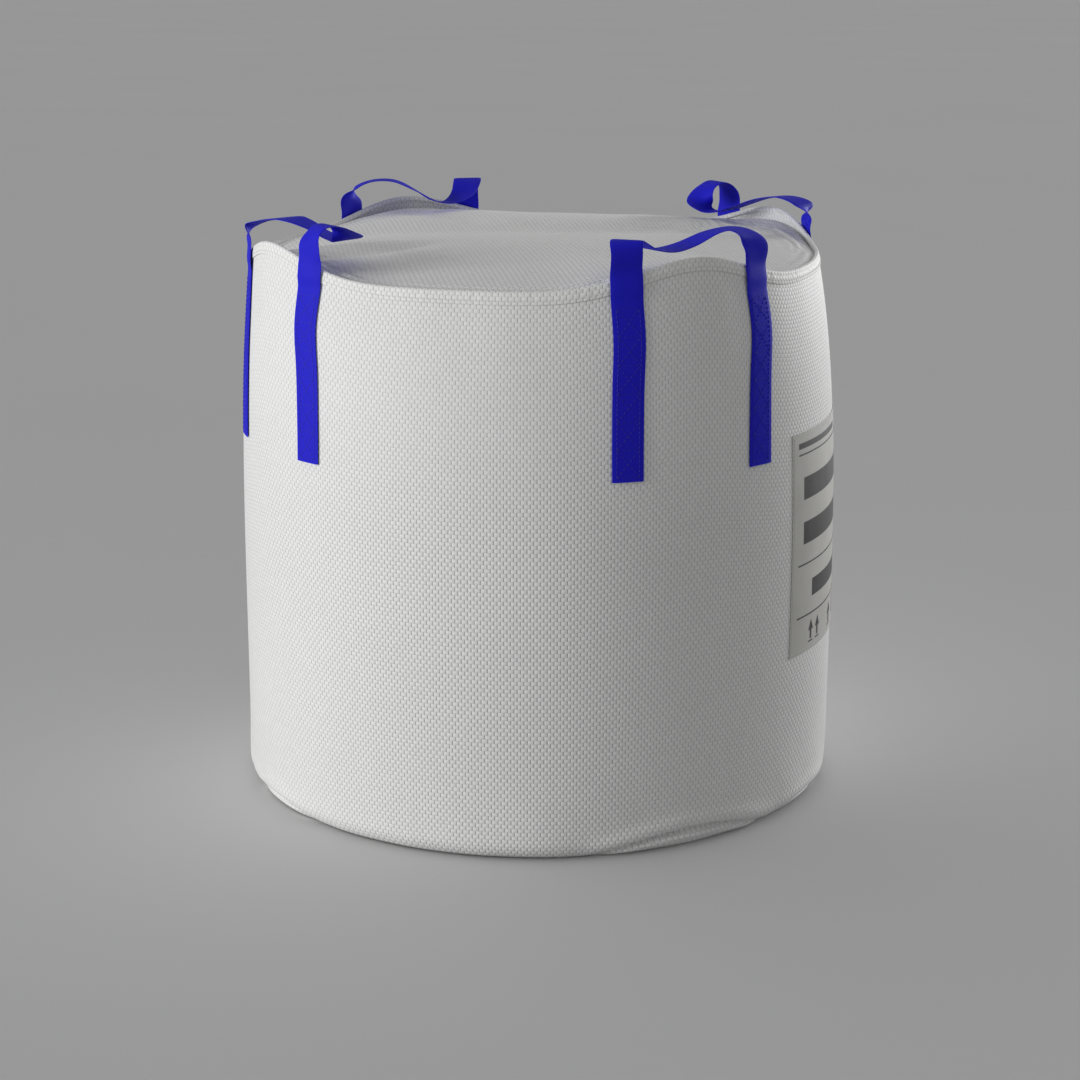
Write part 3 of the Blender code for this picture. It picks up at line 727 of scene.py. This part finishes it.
def build_top():
    points = finer(top_sheet())
    cosine, sine = math.cos(WEAVE_TURN), math.sin(WEAVE_TURN)
    x, y = points[..., 0], points[..., 1]
    uv = np.stack([x * cosine - y * sine, x * sine + y * cosine], axis=-1)
    angle = np.linspace(0.0, TAU, WALL_COLUMNS + 1)[None, :]
    share = np.linspace(0.0, 1.0, 9)[:, None]
    low = top_edge(angle) - 1.5 * MM
    height = low + share * (rim_height(angle) - HEM_INSIDE + 3.0 * MM - low)
    radius = inner_radius(angle) + 0.4 * MM * np.sin(40.0 * angle) * np.sin(math.pi * share)
    flange_uv = np.stack(np.broadcast_arrays(-angle * BELLY_RADIUS, height), axis=-1)[:, ::-1]
    flange = at(angle, radius, height)[:, :-1]
    inward = shell(flange[:, ::-1], flange_uv, CLOTH, wrap=True)
    top = make_piece("bag_top", shell(points, uv, CLOTH), inward)
    paint(top, materials["woven"], "woven_fabric", "top_panel")
    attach(top, "bag")
    radius = float(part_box("top_panel")[1].x)


# Webbing: two legs on the wall and a free loop between them, as one strap.
# The loop's route is (along, out, up) from the middle of its hinge line, in metres, as in the CAD.

LOOP_ROUTES = {
    "fl": [
        (-0.130, 0.000, 0.001), (-0.131, -0.001, 0.018), (-0.118, -0.010, 0.034), (-0.076, -0.016, 0.043),
        (-0.026, -0.016, 0.051), (0.018, -0.020, 0.055), (0.050, -0.038, 0.046), (0.072, -0.060, 0.030),
        (0.098, -0.080, 0.022), (0.122, -0.076, 0.034), (0.131, -0.050, 0.051), (0.131, -0.020, 0.053),
        (0.130, -0.001, 0.030), (0.130, 0.000, 0.001),
    ],
    "fr": [
        (-0.130, 0.000, 0.001), (-0.130, 0.002, 0.026), (-0.124, -0.010, 0.046), (-0.098, -0.036, 0.041),
        (-0.058, -0.058, 0.026), (-0.012, -0.068, 0.017), (0.034, -0.070, 0.024), (0.078, -0.064, 0.041),
        (0.110, -0.046, 0.049), (0.128, -0.020, 0.040), (0.131, -0.002, 0.020), (0.130, 0.000, 0.001),
    ],
    "br": [
        (-0.130, 0.000, 0.001), (-0.131, 0.001, 0.018), (-0.116, -0.002, 0.035), (-0.070, -0.010, 0.042),
        (-0.022, -0.024, 0.035), (0.022, -0.038, 0.020), (0.064, -0.052, 0.005), (0.098, -0.068, 0.000),
        (0.122, -0.076, 0.014), (0.131, -0.062, 0.038), (0.131, -0.034, 0.054), (0.131, -0.008, 0.046),
        (0.130, 0.001, 0.022), (0.130, 0.000, 0.001),
    ],
    "bl": [
        (-0.130, 0.000, 0.001), (-0.131, 0.002, 0.026), (-0.128, -0.012, 0.046), (-0.114, -0.038, 0.040),
        (-0.090, -0.060, 0.020), (-0.056, -0.070, 0.006), (-0.020, -0.066, 0.012), (0.016, -0.055, 0.034),
        (0.052, -0.036, 0.052), (0.090, -0.014, 0.052), (0.121, 0.000, 0.038), (0.131, 0.001, 0.018),
        (0.130, 0.000, 0.001),
    ],
}
STRAP_WIDTH = 55.0 * MM
STRAP_THICKNESS = 2.4 * MM
LEG_SPREAD = math.radians(14.0)
STRAP_COLUMNS = 14
STRAP_STEP = 4.0 * MM
SIDE_TILT = 0.03


def smooth_route(points, step):
    """Even points along a smooth curve through the route's own points."""
    padded = np.vstack([points[0], points, points[-1]])
    s = np.linspace(0.0, 1.0, 24, endpoint=False)[:, None]
    dense = []
    for a, b, c, d in zip(padded, padded[1:], padded[2:], padded[3:]):
        dense.append(0.5 * (2 * b + (c - a) * s + (2 * a - 5 * b + 4 * c - d) * s ** 2
                            + (3 * b - a - 3 * c + d) * s ** 3))
    dense = np.vstack([*dense, points[-1:]])
    lengths = np.concatenate([[0.0], np.cumsum(np.linalg.norm(np.diff(dense, axis=0), axis=1))])
    wanted = np.linspace(0.0, lengths[-1], max(8, round(lengths[-1] / step)) + 1)
    return np.stack([np.interp(wanted, lengths, dense[:, k]) for k in range(3)], axis=-1)


def loop_widths(line, along, out):
    """Width direction of the free loop: flat on the wall at both ends, and level where it runs on."""
    ahead = unit(np.gradient(line, axis=0))
    ahead[0], ahead[-1] = UP, -UP
    widths = []
    for k, forward in enumerate(ahead):
        turn = LEG_SPREAD if k < len(line) / 2 else -LEG_SPREAD
        width = along * math.cos(turn) + out * math.sin(turn)
        level = np.cross(forward, UP)
        share = ease((np.linalg.norm(level) - 0.15) / 0.5)
        if share > 0.0:
            level = unit(level)
            level = level - UP * SIDE_TILT * level.dot(out)
            if widths and level.dot(widths[-1]) < 0.0:
                level = -level
            if width.dot(level) < 0.0:
                width = -width
            width = width * (1.0 - share) + level * share
        width = unit(width - forward * width.dot(forward))
        if widths and width.dot(widths[-1]) < 0.0:
            width = -width
        widths.append(width)
    return np.array(widths)


def soften(values, rounds):
    """Even out neighbouring rows along a strap, with its ends kept."""
    for _ in range(rounds):
        inner = 0.25 * values[:-2] + 0.5 * values[1:-1] + 0.25 * values[2:]
        values = np.concatenate([values[:1], inner, values[-1:]])
    return values


def leg_angle(corner, side):
    return math.radians(CORNERS[corner]) + (LEG_SPREAD if side == "b" else -LEG_SPREAD)


# How far each leg strays sideways below the hem, in millimetres
LEG_SWAY = {
    "fla": 4.0, "flb": -9.0, "fra": 4.0, "frb": 9.0,
    "bra": -6.0, "brb": 4.0, "bla": 5.0, "blb": -5.0,
}


def on_leg(corner, side, across, height, offset=0.0):
    """A point on a leg's middle surface, or in front of it; the leg steps out over the hem."""
    angle = leg_angle(corner, side)
    hem = rim_height(angle) - HEM_DEPTH
    step = 3.4 * MM * ease((height - hem + 14.0 * MM) / (14.0 * MM))
    below = hem - height
    sway = LEG_SWAY[corner + side] * (bell((below - 0.085) / 0.06) - 0.3 * ease((below - 0.15) / 0.15))
    return on_cloth(angle, across + MM * sway, height, 1.4 * MM + 0.5 * STRAP_THICKNESS + step + offset)


def build_strap(corner):
    joint = next(j for j in frame["joints"] if j["child"] == f"loop_{corner}")
    hinge, along = np.array(joint["pos_m"]), np.array(joint["axis"])
    out = np.cross(along, UP)
    foot = float(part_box(f"strap_leg_{corner}_a")[0].z)
    heights = np.arange(foot, hinge[2] - 0.5 * STRAP_STEP, STRAP_STEP)[:, None]
    across = np.linspace(-0.5, 0.5, STRAP_COLUMNS + 1) * STRAP_WIDTH
    low = on_leg(corner, "a", across[None, :], heights)
    high = on_leg(corner, "b", across[None, :], heights)[::-1]
    middle = STRAP_COLUMNS // 2
    route = np.array(LOOP_ROUTES[corner])
    route[:, 0] *= high[0, middle].dot(along) / abs(route[0, 0])
    start = low[-1, middle].dot(out)
    line = along * route[:, :1] + out * (start + route[:, 1:2]) + UP * (hinge[2] + route[:, 2:])
    line = smooth_route(line, STRAP_STEP)
    widths = unit(soften(loop_widths(line, along, out), 3))
    free = line[:, None, :] + widths[:, None, :] * across[None, :, None]
    if widths[-1].dot(high[0, -1] - high[0, 0]) < 0.0:
        high = high[:, ::-1]
    face = soften(np.concatenate([low, free, high]), 3)
    run = np.concatenate([[0.0], np.cumsum(np.linalg.norm(np.diff(face[:, middle], axis=0), axis=1))])
    normal = grid_normals(face, False)
    edge = 1.0 - np.abs(np.linspace(-1.0, 1.0, STRAP_COLUMNS + 1)) ** 8
    half = normal * (0.5 * STRAP_THICKNESS * (0.35 + 0.65 * edge))[None, :, None]
    ring = np.concatenate([face + half, (face - half)[:, ::-1]], axis=1)
    u = np.concatenate([across, across[::-1], across[:1]])
    uv = np.stack(np.broadcast_arrays(u[None, :], run[:, None]), axis=-1)
    rows, columns = ring.shape[:2]
    part = (ring.reshape(-1, 3), lattice(rows, columns, columns), uv.reshape(-1, 2),
            lattice(rows, columns, columns + 1))
    caps = [list(range(columns))[::-1], [(rows - 1) * columns + k for k in range(columns)]]
    strap = make_piece(f"loop_strap_{corner}", part, ngons=caps)
    legs = [f"strap_leg_{corner}_{side}" for side in "ab"]
    paint(strap, materials["strap"], "webbing", *legs, f"lifting_loop_{corner}")
    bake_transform(strap)


def build_leg_stitches(corner, side):
    """A sewn ladder of boxes down the leg, each with a diagonal cross."""
    node = f"strap_stitching_{corner}_{side}"
    low, high = float(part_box(node)[0].z), float(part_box(node)[1].z)
    half = 0.5 * STRAP_WIDTH - 8.0 * MM
    levels = np.linspace(low, high, 7)
    lines = [((-half, low), (-half, high)), ((half, low), (half, high))]
    lines += [((-half, level), (half, level)) for level in levels]
    for bottom, top in zip(levels, levels[1:]):
        lines += [((-half, bottom), (half, top)), ((half, bottom), (-half, top))]
    proud = 0.5 * STRAP_THICKNESS + 0.15 * MM
    parts = []
    for (x0, z0), (x1, z1) in lines:
        t = np.linspace(0.0, 1.0, 60)
        line = on_leg(corner, side, x0 + (x1 - x0) * t, z0 + (z1 - z0) * t, proud)
        normals = np.broadcast_to(at(leg_angle(corner, side), 1.0, 0.0), line.shape)
        parts.append(stitch_line(line, normals, 5.5 * MM, 2.5 * MM, 0.55 * MM))
    stitches = make_piece(f"leg_stitches_{corner}_{side}", *parts)
    paint(stitches, materials["blue_thread"], "loop_thread", node)
    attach(stitches, "bag")


# Label, with plain bars and signs where a real one is printed

LABEL_ANGLE = math.radians(90.0)
LABEL_LIFT = 1.2 * MM
LABEL_SHEET = 0.8 * MM
PRINT_LIFT = 0.3 * MM


def label_patch(left, right, heights, lift, thickness, columns=24):
    """A closed patch on the label, between left and right edges given at each height."""
    heights, left, right = (np.atleast_1d(np.asarray(v, float)) for v in (heights, left, right))
    t = np.linspace(0.0, 1.0, columns + 1)
    across = left[:, None] + (right - left)[:, None] * t
    points = on_cloth(LABEL_ANGLE, across, heights[:, None], lift)
    uv = np.stack(np.broadcast_arrays(across, heights[:, None]), axis=-1)
    return shell(points, uv, thickness)


def bar(x0, x1, z0, z1):
    heights = np.linspace(z0, z1, max(2, int((z1 - z0) / (12.0 * MM)) + 2))
    columns = max(2, int((x1 - x0) / (9.0 * MM)) + 1)
    return label_patch(np.full(len(heights), x0), np.full(len(heights), x1), heights,
                       LABEL_LIFT + PRINT_LIFT, PRINT_LIFT, columns)


def arrow(x, z0, z1, width):
    """An upright arrow on a short base line."""
    neck = z1 - 0.45 * (z1 - z0)
    head = label_patch(x - 0.5 * width * np.array([1.0, 0.03]), x + 0.5 * width * np.array([1.0, 0.03]),
                       [neck, z1], LABEL_LIFT + PRINT_LIFT, PRINT_LIFT, 6)
    return [head, bar(x - 0.16 * width, x + 0.16 * width, z0 + 0.14 * (z1 - z0), neck),
            bar(x - 0.45 * width, x + 0.45 * width, z0, z0 + 0.06 * (z1 - z0))]


def build_label():
    low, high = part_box("label_panel")
    half = BELLY_RADIUS * math.asin(0.5 * (high.y - low.y) / BELLY_RADIUS)
    bottom, top = low.z, high.z
    heights = np.linspace(bottom, top, 60)
    sheet = label_patch(np.full(60, -half), np.full(60, half), heights, LABEL_LIFT, LABEL_SHEET, 56)
    label = make_piece("label_face", sheet)
    paint(label, materials["label"], "label_sheet", "label_panel")
    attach(label, "bag")

    span, tall = 2.0 * half, top - bottom
    left = -half + 0.055 * span
    right = half - 0.055 * span

    def level(share):
        return bottom + share * tall

    marks = [bar(left, right, level(s), level(s) + 2.6 * MM) for s in (0.165, 0.405, 0.90)]
    marks.append(bar(left, left + 0.55 * span, level(0.93), level(0.955)))
    marks.append(bar(-0.40 * span, 0.40 * span, level(0.70), level(0.80)))
    marks.append(bar(-0.40 * span, 0.26 * span, level(0.50), level(0.60)))
    marks.append(bar(-0.30 * span, 0.22 * span, level(0.245), level(0.325)))
    for x in (-0.30, -0.22):
        marks += arrow(x * span, level(0.035), level(0.135), 0.052 * span)
    marks += arrow(0.0, level(0.035), level(0.135), 0.075 * span)
    for x in (0.18, 0.30):
        marks.append(bar((x - 0.03) * span, (x + 0.03) * span, level(0.045), level(0.125)))
    ink = make_piece("label_marks", *marks)
    paint(ink, materials["ink"], "label_ink", "label_print")
    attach(ink, "bag")

    inset = 6.0 * MM
    corners = [(-half + inset, bottom + inset), (half - inset, bottom + inset),
               (half - inset, top - inset), (-half + inset, top - inset)]
    parts = []
    for (x0, z0), (x1, z1) in zip(corners, corners[1:] + corners[:1]):
        t = np.linspace(0.0, 1.0, 90)
        line = on_cloth(LABEL_ANGLE, x0 + (x1 - x0) * t, z0 + (z1 - z0) * t, LABEL_LIFT + 0.2 * MM)
        parts.append(stitch_line(line, unit(line * [1.0, 1.0, 0.0]), 4.0 * MM, 2.0 * MM, 0.45 * MM))
    stitches = make_piece("label_stitches", *parts)
    paint(stitches, materials["white_thread"], "sewing_thread", "label_stitching")
    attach(stitches, "bag")


# CAD pieces that stay as they are, inside and under the bag

def finish_cad_pieces():
    for node, material in (("base_panel", "base"), ("base_seam_cord", "cord"), ("rim_cord", "cord"),
                           ("inner_liner", "film"), ("liner_tie", "cord"), ("bulk_fill", "granules")):
        mesh = frame["nodes"][node].data
        for index in range(len(mesh.materials)):
            mesh.materials[index] = materials[material]


# Studio

CAMERA_AZIMUTH = 15.06
CAMERA_DISTANCE = 4.392
CAMERA_HEIGHT = 1.578
CAMERA_PITCH = 14.565
CAMERA_PAN = 0.08
CAMERA_LENS = 78.65
LAMP_DISTANCE = 6.5
LAMP_AIM = Vector((0.0, 0.0, 0.5))
FLOOR_HALF = 60.0


def build_camera():
    camera = bpy.data.cameras.new("camera")
    camera.lens = CAMERA_LENS
    camera.sensor_width = 36.0
    camera.clip_end = 200.0
    thing = bpy.data.objects.new("camera", camera)
    turn = math.radians(CAMERA_AZIMUTH)
    thing.location = (CAMERA_DISTANCE * math.sin(turn), -CAMERA_DISTANCE * math.cos(turn), CAMERA_HEIGHT)
    thing.rotation_euler = (math.radians(90.0 - CAMERA_PITCH), 0.0, turn - math.radians(CAMERA_PAN))
    bpy.context.scene.collection.objects.link(thing)
    bpy.context.scene.camera = thing


def area_light(name, azimuth, height, width, tall, watts, lit):
    """A soft lamp at an azimuth from the camera's own, which lights only the pieces in one collection."""
    turn = math.radians(CAMERA_AZIMUTH + azimuth)
    light = bpy.data.lights.new(name, "AREA")
    light.shape = "RECTANGLE"
    light.size = width
    light.size_y = tall
    light.energy = watts
    lamp = bpy.data.objects.new(name, light)
    lamp.light_linking.receiver_collection = lit
    lamp.location = (LAMP_DISTANCE * math.sin(turn), -LAMP_DISTANCE * math.cos(turn), height)
    lamp.rotation_euler = (LAMP_AIM - lamp.location).to_track_quat("-Z", "Y").to_euler()
    bpy.context.scene.collection.objects.link(lamp)


def build_studio():
    world = bpy.data.worlds.new("studio")
    world.use_nodes = True
    world.node_tree.nodes["Background"].inputs["Color"].default_value = (0.34, 0.34, 0.34, 1.0)
    bpy.context.scene.world = world
    bpy.context.scene.view_settings.view_transform = "Standard"
    corners = FLOOR_HALF * np.array([(-1.0, -1.0, 0.0), (1.0, -1.0, 0.0), (1.0, 1.0, 0.0), (-1.0, 1.0, 0.0)])
    quad = np.array([[0, 1, 2, 3]])
    floor = make_piece("floor", (corners, quad, corners[:, :2], quad))
    grey = mottled_material("pale_floor", (0.91, 0.91, 0.91), (0.89, 0.89, 0.89), 0.5, 0.85)
    floor.data.materials.append(grey)
    lit = bpy.data.collections.new("lit")
    for thing in bpy.context.scene.objects:
        if thing.type == "MESH" and thing is not floor:
            lit.objects.link(thing)
    area_light("key_left", -66.0, 1.9, 3.0, 2.2, 305.0, lit)
    area_light("side_right", 133.0, 1.8, 2.4, 2.2, 290.0, lit)


build_camera()
build_wall()
build_hem()
build_top()
for corner in CORNERS:
    build_strap(corner)
    for side in "ab":
        build_leg_stitches(corner, side)
build_label()
finish_cad_pieces()
build_studio()
